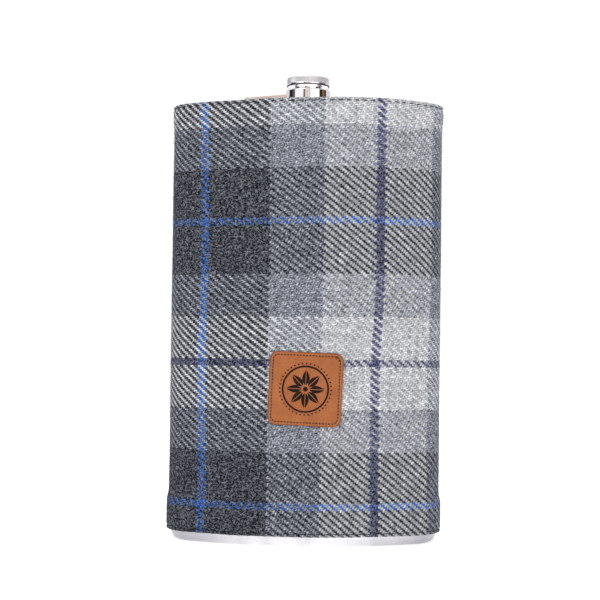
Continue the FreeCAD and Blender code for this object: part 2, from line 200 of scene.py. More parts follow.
def turned(name, profile, segments, centre, bulge):
    """A solid of revolution from (radius, z) points, with bulge(angle, radius, z) added to the radius.

    Its "groove" attribute is 1 at the bottom of the grooves, which are coloured dark, and on the lip, where
    shade is painted.
    """
    angle = np.linspace(0, 2 * math.pi, segments, endpoint=False)[None, :]
    r = np.array([p[0] for p in profile])[:, None]
    z = np.array([p[1] for p in profile])[:, None]
    depth = bulge(angle, r, z)
    reach = r + depth
    x = centre[0] + reach * np.cos(angle)
    y = centre[1] + reach * np.sin(angle)
    points = np.stack([x, y, z + 0 * angle], -1)
    # Painted shade: the rolled lip under the band is marked to be coloured dark, like the bottoms of the
    # grooves.
    lip = (z < profile[0][1] + LIP_SHADOW) & (r > r.max() - LIP_WIDTH)
    groove_depth_and_lip_shade = np.maximum(-depth / KNURL_DEPTH, lip)
    return grid_mesh(name, points, wrap=True, attributes={"groove": groove_depth_and_lip_shade})


def capsules(name, runs, radius, segments=8):
    """Short thread lengths: each run is (start, end, up), a soft rod that dips at both ends."""
    shape = bmesh.new()
    steps = 7  # rings along each rod
    for start, end, up in runs:
        along = (end - start).normalized()
        across = along.cross(up).normalized()
        rings = []
        for k in range(steps):
            t = k / (steps - 1)
            swell = math.sqrt(max(0.0, 1 - (2 * t - 1) ** 4))
            lift = up * radius * 0.9 * (math.sin(math.pi * t) - 1)
            middle = start.lerp(end, t) + lift
            r = radius * (0.35 + 0.65 * swell)
            ring = []
            for j in range(segments):
                a = 2 * math.pi * j / segments
                ring.append(shape.verts.new(middle + across * r * math.cos(a) + up * r * math.sin(a)))
            rings.append(ring)
        for low, high in zip(rings, rings[1:]):
            for j in range(segments):
                k = (j + 1) % segments
                shape.faces.new((low[j], low[k], high[k], high[j]))
        shape.faces.new(rings[0])
        shape.faces.new(list(reversed(rings[-1])))
    bmesh.ops.recalc_face_normals(shape, faces=shape.faces)
    mesh = bpy.data.meshes.new(name)
    shape.to_mesh(mesh)
    shape.free()
    mesh.shade_smooth()
    obj = bpy.data.objects.new(name, mesh)
    bpy.context.collection.objects.link(obj)
    return obj


# ---------------------------------------------------------------- materials
class Tree:
    """Short forms for building a material's nodes."""

    def __init__(self, owner):
        owner.use_nodes = True
        self.tree = owner.node_tree

    def node(self, kind, settings=None, **inputs):
        """A new node, with its settings by name and its sockets' values or links by socket name."""
        made = self.tree.nodes.new(kind)
        for key, value in (settings or {}).items():
            setattr(made, key, value)
        for key, value in inputs.items():
            self.feed(made.inputs[key.replace("_", " ")], value)
        return made

    def feed(self, socket, value):
        """Links a socket to another, or sets its value."""
        if isinstance(value, bpy.types.NodeSocket):
            self.tree.links.new(value, socket)
        else:
            socket.default_value = value

    def math(self, operation, *values):
        made = self.tree.nodes.new("ShaderNodeMath")
        made.operation = operation
        for socket, value in zip(made.inputs, values):
            self.feed(socket, value)
        return made.outputs[0]

    def vector_math(self, operation, *values):
        made = self.tree.nodes.new("ShaderNodeVectorMath")
        made.operation = operation
        for socket, value in zip(made.inputs, values):
            self.feed(socket, value)
        return made.outputs[0]

    def between(self, value, low, high, to_low=0.0, to_high=1.0):
        """Maps low..high to to_low..to_high, and holds the ends."""
        made = self.node("ShaderNodeMapRange", Value=value)
        for socket, number in zip(list(made.inputs)[1:5], (low, high, to_low, to_high)):
            self.feed(socket, number)
        return made.outputs[0]

    def mix(self, factor, a, b, blend="MIX"):
        made = self.tree.nodes.new("ShaderNodeMix")
        made.data_type = "RGBA"
        made.blend_type = blend
        self.feed(made.inputs[0], factor)
        self.feed(made.inputs[6], a if isinstance(a, bpy.types.NodeSocket) else (*a, 1))
        self.feed(made.inputs[7], b if isinstance(b, bpy.types.NodeSocket) else (*b, 1))
        return made.outputs[2]

    def mix_value(self, factor, a, b):
        made = self.tree.nodes.new("ShaderNodeMix")
        for socket, value in zip(list(made.inputs)[:1] + list(made.inputs)[2:4], (factor, a, b)):
            self.feed(socket, value)
        return made.outputs[0]

    def scaled(self, vector, factor):
        made = self.node("ShaderNodeVectorMath", {"operation": "SCALE"})
        self.feed(made.inputs[0], vector)
        self.feed(made.inputs[3], factor)
        return made.outputs[0]

    def ramp(self, value, stops, constant=False):
        """A colour ramp's outputs, from (place, colour) stops in rising order."""
        made = self.node("ShaderNodeValToRGB", Fac=value)
        ramp = made.color_ramp
        ramp.interpolation = "CONSTANT" if constant else "LINEAR"
        ramp.elements.remove(ramp.elements[1])
        ramp.elements[0].position = stops[0][0]
        for at, _ in stops[1:]:
            ramp.elements.new(at)
        for element, (_, colour) in zip(ramp.elements, stops):
            element.color = colour if len(colour) == 4 else (*colour, 1)
        return made.outputs

    def noise(self, vector, scale, detail=3.0, roughness=0.5, distortion=0.0):
        made = self.node("ShaderNodeTexNoise", Vector=vector, Scale=scale, Detail=detail,
                         Roughness=roughness, Distortion=distortion)
        return made.outputs

    def bump(self, bsdf, strength, distance, height):
        """Raises the shader's surface by a height."""
        made = self.node("ShaderNodeBump", Strength=strength, Distance=distance, Height=height)
        self.feed(bsdf.inputs["Normal"], made.outputs[0])


FLOATS = 4.0  # a 2/2 twill repeats after four threads
FLOAT_LEAN = 0.28  # of a thread's width


def new_material(name, **shader):
    """A material with one Principled shader, whose constant values are given by socket name."""
    made = bpy.data.materials.new(name)
    t = Tree(made)
    bsdf = t.tree.nodes["Principled BSDF"]
    for key, value in shader.items():
        bsdf.inputs[key.replace("_", " ")].default_value = value
    return made, t, bsdf


def curls(t, at, scale, seed):
    """Thin curly lines, as fibres lying loose on the cloth: the level lines of a smooth noise."""
    shifted = t.vector_math("ADD", at, (seed, seed, 0.0))
    level = t.math("ABSOLUTE", t.math("SUBTRACT", t.noise(shifted, scale, 1.0, 0.4, 0.6)["Fac"], 0.5))
    strand = t.math("SUBTRACT", 1.0, t.between(level, 0.01, 0.06))
    patchy = t.between(t.noise(shifted, 0.8, 0.0)["Fac"], 0.35, 0.6)
    return t.math("MULTIPLY", strand, patchy)


def sett_colour(t, thread):
    """The colour of a thread by its number; the ramp's alpha is the strength of its heather."""
    in_sett = t.math("FLOORED_MODULO", thread, float(THREADS))
    place = t.math("DIVIDE", t.math("ADD", in_sett, 0.5), float(THREADS))
    stops, used = [], 0
    for colour, count in SETT:
        stops.append((used / THREADS, YARN[colour]))
        used += count
    return t.ramp(place, stops, constant=True)


def weave_cell(t, at):
    """The thread on top at each place of the cloth: 1 where it is a warp, its column and row, and its crown.

    The crown is 1 along the middle of a float and falls to 0 at its sides, and nearly so at its ends.
    """
    wander = t.vector_math("SUBTRACT", t.noise(at, 0.9, 3.0, 0.6)["Color"], (0.5, 0.5, 0.5))
    loose = t.vector_math("ADD", at, t.vector_math("MULTIPLY", wander, (0.85, 0.85, 0.0)))
    split = t.node("ShaderNodeSeparateXYZ", Vector=loose)
    u, v = split.outputs[0], split.outputs[1]
    # Where a float of the warp leans, its threads' edges lean with it.
    warp_row = t.math("FLOORED_MODULO", t.math("ADD", t.math("FLOOR", u), v), FLOATS)
    lean = t.math("MULTIPLY", t.math("SUBTRACT", t.math("MINIMUM", warp_row, 2.0), 1.0), FLOAT_LEAN)
    u_leaning = t.math("SUBTRACT", u, lean)
    column = t.math("FLOOR", u_leaning)
    row = t.math("FLOOR", v)
    step = t.math("FLOORED_MODULO", t.math("ADD", column, row), FLOATS)
    warp_up = t.math("LESS_THAN", step, 1.5)
    in_u = t.math("FRACT", u_leaning)
    in_v = t.math("FRACT", v)
    across = t.mix_value(warp_up, in_v, in_u)
    along_weft = t.math("ADD", t.math("SUBTRACT", step, 2.0), in_u)
    along = t.mix_value(warp_up, along_weft, t.math("ADD", step, in_v))
    off_middle = t.math("ABSOLUTE", t.math("SUBTRACT", t.math("MULTIPLY", across, 2.0), 1.0))
    off_float = t.math("ABSOLUTE", t.math("SUBTRACT", along, 1.0))
    sides = t.math("SUBTRACT", 1.0, t.math("POWER", off_middle, 2.2))
    ends = t.math("SUBTRACT", 1.0, t.math("MULTIPLY", t.math("POWER", off_float, 3.0), 0.85))
    return warp_up, column, row, t.math("MULTIPLY", sides, ends)


def white_noise(t, number):
    """A fixed random value from 0 to 1 for each whole number."""
    return t.node("ShaderNodeTexWhiteNoise", {"noise_dimensions": "1D"}, W=number).outputs["Value"]


def tweed_material():
    """2/2 twill of heathered wool: each thread has the colour of its place in the sett."""
    made, t, bsdf = new_material("tweed", Sheen_Weight=0.03, Sheen_Roughness=0.5, Specular_IOR_Level=0.05)
    at = t.node("ShaderNodeAttribute", {"attribute_name": "weave"}).outputs["Vector"]
    warp_up, column, row, crown = weave_cell(t, at)
    warp_number = t.math("ADD", column, WARP_START)
    weft_number = t.math("ADD", row, WEFT_START)
    thread = t.mix_value(warp_up, weft_number, warp_number)
    crossing = t.mix_value(warp_up, warp_number, weft_number)
    wool = sett_colour(t, thread)
    yarn, heather = wool["Color"], wool["Alpha"]
    # Heather: each thread is spun from lighter and darker fibres, which curl about in the surface.
    light_curls = t.math("MAXIMUM", curls(t, at, 0.62, 0.0), curls(t, at, 0.9, 37.0))
    dark_curls = t.math("MAXIMUM", curls(t, at, 0.7, 71.0), curls(t, at, 1.1, 93.0))
    fibres = t.noise(at, 0.85, 2.0, 0.7, 1.6)["Fac"]
    brightness = t.math("MULTIPLY_ADD", t.between(fibres, 0.34, 0.66, -1.0, 1.95), heather, 1.0)
    # Threads and floats differ, and the yarn is slubby along its length.
    diagonal = t.math("FLOOR", t.math("DIVIDE", t.math("ADD", column, row), FLOATS))
    float_number = t.math("ADD", t.math("MULTIPLY", thread, 57.0), diagonal)
    along_weft = t.noise(t.vector_math("MULTIPLY", at, (0.05, 1.0, 1.0)), 0.7, 2.0)["Fac"]
    along_warp = t.noise(t.vector_math("MULTIPLY", at, (1.0, 0.05, 1.0)), 0.7, 2.0)["Fac"]
    slubs = t.mix_value(warp_up, along_weft, along_warp)
    blots = t.noise(at, 0.22, 2.0, 0.6)["Fac"]
    # The pale warp is pulled tighter than the pale weft, so its floats stand a little darker.
    pulled = t.mix_value(warp_up, 1.0, t.between(heather, 0.30, 0.48, 0.80, 1.0))
    # A dark thread's fuzz lies over the floats beside it.
    beside = t.between(sett_colour(t, crossing)["Color"], 0.02, 0.55, 0.80, 1.0)
    variations = [
        t.between(white_noise(t, thread), 0, 1, 0.90, 1.10),
        t.between(white_noise(t, float_number), 0, 1, 0.78, 1.16),
        t.between(slubs, 0.3, 0.7, 0.80, 1.20),
        t.between(blots, 0.3, 0.7, 0.84, 1.16),
        pulled,
        beside,
    ]
    for variation in variations:
        brightness = t.math("MULTIPLY", brightness, variation)
    # Painted shade: each float is coloured darker towards its sides and ends, where it meets the threads
    # round it, most for the strongly heathered yarns, and a little lighter along its crown.
    painted_gap_shade = t.between(heather, 0.2, 1.0, 0.50, 0.15)
    shade = t.math("MULTIPLY", brightness, t.mix_value(t.between(crown, 0.1, 0.9), painted_gap_shade, 1.12))
    shaded = t.scaled(yarn, shade)
    dark_share = t.math("MULTIPLY", dark_curls, t.between(heather, 0.2, 1.0, 0.40, 0.75))
    darker = t.mix(dark_share, shaded, (0.05, 0.055, 0.07), "MULTIPLY")
    lighter = t.mix(t.math("MULTIPLY", light_curls, 0.30), darker, (0.60, 0.64, 0.72))
    t.feed(bsdf.inputs["Base Color"], lighter)
    t.feed(bsdf.inputs["Roughness"], t.between(fibres, 0.3, 0.7, 0.98, 0.86))
    height = t.math("ADD", t.math("MULTIPLY", crown, 0.3), t.math("MULTIPLY", fibres, 0.6))
    height = t.math("ADD", height, t.math("MULTIPLY", light_curls, 0.35))
    t.bump(bsdf, 0.7, 0.22 * MM, height)
    return made


def leather_material():
    """Tan vegetable-tanned leather, darker where it is pressed and burnished at its edge."""
    made, t, bsdf = new_material("tan_leather", Specular_IOR_Level=0.25)
    at = t.node("ShaderNodeTexCoord").outputs["Object"]
    pressed = t.node("ShaderNodeAttribute", {"attribute_name": "pressed"}).outputs["Fac"]
    rim = t.node("ShaderNodeAttribute", {"attribute_name": "rim"}).outputs["Fac"]
    cloud = t.noise(at, 120.0, 4.0, 0.55)["Fac"]
    cells = t.node("ShaderNodeTexVoronoi", {"feature": "DISTANCE_TO_EDGE"}, Vector=at, Scale=1500.0)
    grain = t.math("MINIMUM", cells.outputs[0], 0.3)
    pores = t.noise(at, 2600.0, 2.0)["Fac"]
    tans = [(0.25, (0.33, 0.100, 0.027)), (0.50, (0.40, 0.124, 0.034)), (0.75, (0.46, 0.152, 0.046))]
    base = t.ramp(cloud, tans)["Color"]
    speckled = t.mix(t.between(pores, 0.35, 0.65, 0.30, 0.0), base, (0.10, 0.035, 0.015))
    burnt = t.between(pressed, 0.15, 0.75, 0.0, 1.0)
    branded = t.mix(burnt, speckled, (0.013, 0.008, 0.006))
    burnished = t.mix(t.math("MULTIPLY", rim, 0.7), branded, (0.13, 0.045, 0.020))
    t.feed(bsdf.inputs["Base Color"], burnished)
    t.feed(bsdf.inputs["Roughness"], t.math("MAXIMUM", t.between(cloud, 0.3, 0.7, 0.62, 0.46), burnt))
    height = t.math("ADD", t.math("MULTIPLY", grain, 2.0), t.math("MULTIPLY", pores, 0.4))
    t.bump(bsdf, 0.35, 0.15 * MM, height)
    return made


def thread_material(name, colour):
    """Waxed sewing thread: fine plies across it."""
    made, t, bsdf = new_material(name, Specular_IOR_Level=0.3)
    at = t.node("ShaderNodeTexCoord").outputs["Object"]
    plies = t.noise(at, 3500.0, 2.0)["Fac"]
    darker = tuple(c * 0.5 for c in colour)
    t.feed(bsdf.inputs["Base Color"], t.mix(plies, darker, colour))
    t.feed(bsdf.inputs["Roughness"], t.between(plies, 0.3, 0.7, 0.6, 0.8))
    t.bump(bsdf, 0.5, 0.1 * MM, plies)
    return made


def brushed_material():
    """Stainless steel, brushed round the body."""
    made, t, bsdf = new_material("brushed_steel", Metallic=1.0)
    at = t.node("ShaderNodeTexCoord").outputs["Object"]
    lines = t.noise(t.vector_math("MULTIPLY", at, (1.0, 1.0, 60.0)), 90.0, 4.0, 0.7)["Fac"]
    smears = t.noise(t.vector_math("MULTIPLY", at, (1.0, 1.0, 0.3)), 60.0, 3.0)["Fac"]
    clean = t.mix(lines, (0.66, 0.65, 0.67), (0.90, 0.89, 0.91))
    smeared = t.mix(t.between(smears, 0.4, 0.7, 0.0, 0.35), clean, (0.42, 0.41, 0.44))
    # Painted shade: the steel is coloured darker towards the narrow sides of the body.
    sideways = t.math("ABSOLUTE", t.node("ShaderNodeSeparateXYZ", Vector=at).outputs[0])
    painted_side_shade = t.between(sideways, 25 * MM, 70 * MM, 0.0, 0.85)
    t.feed(bsdf.inputs["Base Color"], t.mix(painted_side_shade, smeared, (0.36, 0.35, 0.39)))
    line_roughness = t.between(lines, 0.3, 0.7, 0.20, 0.34)
    smear_roughness = t.between(smears, 0.3, 0.7, -0.03, 0.03)
    t.feed(bsdf.inputs["Roughness"], t.math("ADD", line_roughness, smear_roughness))
    t.bump(bsdf, 0.6, 0.06 * MM, lines)
    return made


def polished_material(name, roughness, colour):
    """Bright steel with faint handling marks."""
    made, t, bsdf = new_material(name, Metallic=1.0)
    at = t.node("ShaderNodeTexCoord").outputs["Object"]
    marks = t.noise(at, 260.0, 4.0, 0.6)["Fac"]
    tint = tuple(c * 0.93 for c in colour)
    t.feed(bsdf.inputs["Base Color"], t.mix(marks, tint, colour))
    t.feed(bsdf.inputs["Roughness"], t.between(marks, 0.35, 0.7, roughness, roughness * 2.2))
    return made


def knurled_material():
    """Bright steel, coloured dark at the bottom of the knurling's grooves, with painted shade on the rolled
    lip under the band.
    """
    made, t, bsdf = new_material("knurled_steel", Specular_IOR_Level=0.0)
    at = t.node("ShaderNodeTexCoord").outputs["Object"]
    groove = t.node("ShaderNodeAttribute", {"attribute_name": "groove"}).outputs["Fac"]
    marks = t.noise(at, 900.0, 3.0, 0.6)["Fac"]
    clean = t.mix(marks, (0.84, 0.82, 0.84), (0.97, 0.95, 0.97))
    # Dark at the bottom of the knurling's grooves; on the rolled lip under the band this is painted shade.
    groove_dark_and_lip_shade = t.between(groove, 0.45, 0.95, 0.0, 1.0)
    t.feed(bsdf.inputs["Base Color"], t.mix(groove_dark_and_lip_shade, clean, (0.045, 0.035, 0.03)))
    t.feed(bsdf.inputs["Metallic"], t.math("SUBTRACT", 1.0, groove_dark_and_lip_shade))
    t.feed(bsdf.inputs["Roughness"], t.math("MAXIMUM", t.between(marks, 0.3, 0.7, 0.08, 0.16), groove_dark_and_lip_shade))
    return made


def seal_material():
    """Food-grade silicone."""
    made, t, bsdf = new_material("seal_rubber")
    at = t.node("ShaderNodeTexCoord").outputs["Object"]
    dust = t.noise(at, 900.0, 3.0)["Fac"]
    t.feed(bsdf.inputs["Base Color"], t.mix(dust, (0.70, 0.70, 0.67), (0.80, 0.80, 0.78)))
    t.feed(bsdf.inputs["Roughness"], t.between(dust, 0.3, 0.7, 0.45, 0.6))
    return made


def felt_material():
    """The lining's dark felt."""
    made, t, bsdf = new_material("felt_lining", Sheen_Weight=0.3, Specular_IOR_Level=0.1)
    at = t.node("ShaderNodeTexCoord").outputs["Object"]
    fibres = t.noise(at, 1400.0, 4.0, 0.7, 1.0)["Fac"]
    t.feed(bsdf.inputs["Base Color"], t.mix(fibres, (0.015, 0.015, 0.017), (0.07, 0.07, 0.08)))
    t.feed(bsdf.inputs["Roughness"], t.between(fibres, 0.3, 0.7, 0.9, 1.0))
    t.bump(bsdf, 0.6, 0.2 * MM, fibres)
    return made


# ---------------------------------------------------------------- the weave
HALF = half_outline()
WARP_COUNT = round(2 * HALF / WARP_PITCH)
WARP_PITCH = 2 * HALF / WARP_COUNT
# Thread numbers run from the back seam round the left side, and up from the bottom edge.
WARP_START = float(round(BLUE_CENTRE - (BLUE_WARP_S + HALF) / WARP_PITCH) % THREADS)
WEFT_START = float(round(BLUE_CENTRE - (BLUE_WEFT_Z - SLEEVE_LOW[2]) / WEFT_PITCH) % THREADS)


def thread_relief(u, v):
    """Height of the weave from 0 to 1 at half-thread places: crowns in a float, dips between threads."""
    def warp_up(i, j):
        return np.mod(i + j, 4) < 2

    i, j = np.floor(u).astype(int), np.floor(v).astype(int)
    mid_u, mid_v = np.mod(u, 1) > 0.25, np.mod(v, 1) > 0.25
    here = warp_up(i, j)
    below = warp_up(i, j - 1)
    left = warp_up(i - 1, j)
    both = mid_u & mid_v
    up_edge = mid_u & ~mid_v  # on a warp thread, between two wefts
    side_edge = ~mid_u & mid_v  # on a weft thread, between two warps
    height = np.full(u.shape, 0.22)
    height[both] = 0.86
    height[up_edge] = np.where(here & below, 1.0, np.where(~here & ~below, 0.38, 0.42))[up_edge]
    height[side_edge] = np.where(~here & ~left, 0.96, np.where(here & left, 0.34, 0.42))[side_edge]
    return height


def hem_groove(height_above_edge):
    """How far the hem's stitches draw the cloth in."""
    return STITCH_GROOVE * np.exp(-(((height_above_edge - STITCH_INSET) / STITCH_GROOVE_WIDTH) ** 2))


def cloth_face(z):
    """The cloth's offset from the steel at height z, hems and stitch grooves included."""
    low = z - SLEEVE_LOW[2]
    high = SLEEVE_HIGH[2] - z
    offset = CLOTH + (BOTTOM_HEM - CLOTH) * (1 - ease(z, BOTTOM_HEM_FULL, BOTTOM_HEM_GONE))
    offset = offset + (TOP_HEM - CLOTH) * ease(z, TOP_HEM_GONE, TOP_HEM_FULL)
    return offset - hem_groove(low) - hem_groove(high)


def skew(x, z):
    """The sleeve sits a little askew: towards the top, its left side is pulled down and its right side up."""
    return SKEW * np.sin(x / HALF_WIDTH * 2.4) * ease(z, 60 * MM, 250 * MM)


def warp_drift(s, z):
    """How far the warp wanders sideways: the cloth isn't stretched evenly over the steel."""
    swing = 0.6 * MM * np.cos((z - 175 * MM) / (150 * MM) * 2 * math.pi) * ease(-s, 0, 50 * MM)
    middle = 1.1 * MM * np.exp(-(((s + 8 * MM) / (32 * MM)) ** 2))
    lean = (2.6 * ease(z, 95 * MM, 155 * MM) - 2.9) * MM * ease(s, -10 * MM, 40 * MM)
    return (swing + middle + lean) * (1 - ease(np.abs(s), 95 * MM, 140 * MM))


def cloth_path():
    """The cloth's cross-section from inside the bottom hem, up the outside, to inside the top hem.

    Returns offset, height, the normal in that plane, and the weft number, row by row.
    """
    step = WEFT_PITCH / 2
    low_r = (BOTTOM_HEM - HEM_INNER) / 2
    high_r = (TOP_HEM - HEM_INNER) / 2
    rows = []
    z0, z1 = SLEEVE_LOW[2] + low_r, SLEEVE_HIGH[2] - high_r
    fold = max(2, round(math.pi * low_r / step))
    for k in range(5):
        rows.append((HEM_INNER, z0 + HEM_TURNING * (1 - k / 5), -1.0, 0.0, 2.0))
    for k in range(fold + 1):
        a = math.pi * k / fold
        sine, cosine = math.sin(a), math.cos(a)
        rows.append((HEM_INNER + low_r - low_r * cosine, z0 - low_r * sine, -cosine, -sine, 1.0))
    count = round((z1 - z0) / step)
    for k in range(1, count):
        z = z0 + (z1 - z0) * k / count
        rows.append((float(cloth_face(z)), z, 1.0, 0.0, 1.0))
    fold = max(2, round(math.pi * high_r / step))
    for k in range(fold + 1):
        a = math.pi * k / fold
        sine, cosine = math.sin(a), math.cos(a)
        rows.append((HEM_INNER + high_r + high_r * cosine, z1 + high_r * sine, cosine, sine, 1.0))
    for k in range(1, 6):
        rows.append((HEM_INNER, z1 - HEM_TURNING * k / 5, -1.0, 0.0, 2.0))
    path = np.array(rows)
    half_threads = np.cumsum(np.concatenate([[0], path[1:, 4]]))
    # Wefts are counted from the bottom edge, up the outer face.
    not_outside = path[:, 2] < 0.9
    first_outer = np.argmin(np.abs(path[:, 1] - z0) + 1e3 * not_outside)
    start = round((path[first_outer, 1] - SLEEVE_LOW[2]) / step)
    weft = (half_threads - half_threads[first_outer] + start) / 2
    return path[:, 0], path[:, 1], path[:, 2], path[:, 3], weft


CLOTH_MIDDLE_Z = 131 * MM


def tweed_sleeve():
    """The cloth as one woven sheet round the body, folded in at both hems and at the back seam."""
    offset, z, normal_out, normal_up, weft = cloth_path()
    columns = np.arange(-2 * SEAM_TURNING, 2 * WARP_COUNT + 2 * SEAM_TURNING + 1)
    warp = columns / 2.0
    at_seam = HALF - 0.12 * MM
    s = np.clip(-HALF + warp * WARP_PITCH, -at_seam, at_seam)
    past = np.maximum(-warp, 0) + np.maximum(warp - WARP_COUNT, 0)
    from_seam = np.minimum(np.abs(warp), np.abs(WARP_COUNT - warp))
    turned_in = 0.9 * MM * past / SEAM_TURNING + SEAM_DIP
    inward = np.where(past > 0, turned_in, SEAM_DIP * np.exp(-((from_seam / 0.9) ** 2)))
    u, v = np.meshgrid(warp, weft)
    relief = RELIEF * (thread_relief(u, v) - 0.75)
    relief = relief + 0.05 * MM * waves(u, v, 3, 1.9, 2)
    s2, z2 = np.meshgrid(s, z)
    out = offset[:, None] + relief * normal_out[:, None]
    out = out - np.minimum(inward[None, :], 0.8 * out)
    # The cloth isn't stretched quite evenly, and the edges run a little up and down.
    slack = 0.16 * MM * waves(s2, z2, 5, 90 * MM, 2) * (normal_out[:, None] > 0.5)
    x, y, _, _ = outline(s2 + warp_drift(s2, z2), out + slack)
    near_edge = ease(np.abs(z2 - CLOTH_MIDDLE_Z), 90 * MM, 125 * MM)
    high = z2 + relief * normal_up[:, None] + skew(x, z2)
    high = high + 0.22 * MM * near_edge * waves(s2, 0 * z2, 7, 45 * MM, 2)
    weave = np.stack([u, v, 0 * u], -1)
    points = np.stack([x, y, high], -1)
    return grid_mesh("tweed_sleeve_cloth", points, attributes={"weave": weave})


def hem_stitches(name, z):
    """Running stitches along a hem, lying in the groove that they draw."""
    pitch, length, radius = 4.8 * MM, 3.4 * MM, 0.36 * MM
    count = round(2 * HALF / pitch)
    runs = []
    for k in range(count):
        s = -HALF + (k + 0.5) * 2 * HALF / count
        ends = []
        for at in (s - length / 2, s + length / 2):
            x, y, _, _ = outline(at, cloth_face(z) + radius * 0.2)
            ends.append(Vector((float(x), float(y), float(z + skew(x, z)))))
        _, _, nx, ny = outline(s, CLOTH)
        runs.append((ends[0], ends[1], Vector((float(nx), float(ny), 0))))
    return capsules(name, runs, radius)


def seam_stitches():
    """Short ladder stitches that draw the back seam together."""
    low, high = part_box("back_seam_thread")
    pitch, half = 5.0 * MM, 1.3 * MM
    y = FRONT_Y + THICKNESS + CLOTH - 0.35 * MM
    runs = []
    for k in range(round((high[2] - low[2]) / pitch) + 1):
        z = low[2] + k * pitch
        runs.append((Vector((-half, y, z)), Vector((half, y, z + 0.5 * MM)), Vector((0, 1, 0))))
    return capsules("back_seam_stitches", runs, 0.26 * MM)


FIBRES = 5200
FIBRE_LENGTH = (1.6 * MM, 4.6 * MM)
FIBRE_RADIUS = (0.03 * MM, 0.055 * MM)


def wool_fibres():
    """Loose fibres that curl in and out of the cloth's surface, each a thin closed tube."""
    rng = np.random.default_rng(17)
    steps, sides = 6, 3
    along = np.linspace(0, 1, steps)[None, :]
    s0 = rng.uniform(-HALF + 4 * MM, HALF - 4 * MM, (FIBRES, 1))
    z0 = rng.uniform(SLEEVE_LOW[2] + 3 * MM, SLEEVE_HIGH[2] - 4 * MM, (FIBRES, 1))
    length = rng.uniform(*FIBRE_LENGTH, (FIBRES, 1))
    heading = rng.uniform(0, 2 * math.pi, (FIBRES, 1)) + rng.normal(0, 1.5, (FIBRES, 1)) * along
    s = s0 + np.cumsum(np.cos(heading), 1) * length / steps
    z = z0 + np.cumsum(np.sin(heading), 1) * length / steps
    rise = rng.uniform(0.05, 0.45, (FIBRES, 1)) * MM * np.sin(math.pi * along)
    # About a third of them have a loose end.
    loose_end = rng.uniform(0, 1.0, (FIBRES, 1)) * MM * (rng.uniform(0, 1, (FIBRES, 1)) < 0.3) * along**2
    x, y, nx, ny = outline(s + warp_drift(s, z), cloth_face(z) + 0.02 * MM + rise + loose_end)
    middle = np.stack([x, y, z + skew(x, z)], -1)
    tangent = np.gradient(middle, axis=1)
    tangent /= np.linalg.norm(tangent, axis=2, keepdims=True)
    up = np.stack([nx, ny, 0 * nx], -1)
    across = np.cross(tangent, up)
    across /= np.linalg.norm(across, axis=2, keepdims=True)
    up = np.cross(across, tangent)
    radius = rng.uniform(*FIBRE_RADIUS, (FIBRES, 1)) * (1 - 0.7 * (2 * along - 1) ** 4)
    turn = np.arange(sides) * 2 * math.pi / sides
    ring = across[:, :, None] * np.cos(turn)[:, None] + up[:, :, None] * np.sin(turn)[:, None]
    points = middle[:, :, None] + ring * radius[:, :, None, None]
    index = np.arange(FIBRES * steps * sides).reshape(FIBRES, steps, sides)
    beside = np.roll(index, -1, axis=2)
    quads = np.stack([index[:, :-1], index[:, 1:], beside[:, 1:], beside[:, :-1]], -1).reshape(-1, 4)
    ends = np.concatenate([index[:, 0], index[:, -1, ::-1]])
    mesh = bpy.data.meshes.new("wool_fibres")
    mesh.from_pydata(points.reshape(-1, 3), [], quads.tolist() + ends.tolist())
    tone = mesh.attributes.new("tone", "FLOAT", "POINT")
    shade = np.repeat(rng.uniform(0, 1, FIBRES), steps * sides)
    tone.data.foreach_set("value", shade.astype(np.float32))
    mesh.shade_smooth()
    obj = bpy.data.objects.new("wool_fibres", mesh)
    bpy.context.collection.objects.link(obj)
    return obj


def fibre_material():
    """Single wool fibres, mostly pale."""
    made, t, bsdf = new_material("wool_fibre", Specular_IOR_Level=0.2)
    tone = t.node("ShaderNodeAttribute", {"attribute_name": "tone"}).outputs["Fac"]
    colours = [(0.0, (0.03, 0.033, 0.045)), (0.22, (0.05, 0.055, 0.075)), (0.30, (0.40, 0.43, 0.50)),
               (0.95, (0.72, 0.74, 0.78)), (1.0, (0.75, 0.72, 0.62))]
    t.feed(bsdf.inputs["Base Color"], t.ramp(tone, colours)["Color"])
    t.feed(bsdf.inputs["Roughness"], t.between(tone, 0, 1, 0.9, 0.7))
    return made


# ---------------------------------------------------------------- the patch
PATCH_SIDE = 42.0 * MM
PATCH_CORNER = 5.0 * MM
PATCH_TURN = math.radians(2.1)  # clockwise, seen from the front
PATCH_X = (PATCH_LOW[0] + PATCH_HIGH[0]) / 2
PATCH_Z = (PATCH_LOW[2] + PATCH_HIGH[2]) / 2
PATCH_FACE = CLOTH + 1.55 * MM  # distance off the steel
PATCH_STITCH_INSET = 1.9 * MM
PATCH_STITCHES = 82

# The rosette pressed into it.
PETALS = 8
PETAL_START, PETAL_LENGTH, PETAL_HALF_WIDTH = 2.2 * MM, 9.0 * MM, 2.15 * MM
RING_R = 12.9 * MM
BEAD_RING_R = 14.6 * MM
BEADS = 40


def patch_inset(px, pz):
    """Distance from a point of the patch in to its edge."""
    qx = np.abs(px) - PATCH_SIDE / 2 + PATCH_CORNER
    qz = np.abs(pz) - PATCH_SIDE / 2 + PATCH_CORNER
    outside = np.hypot(np.maximum(qx, 0), np.maximum(qz, 0))
    return PATCH_CORNER - outside - np.minimum(np.maximum(qx, qz), 0)


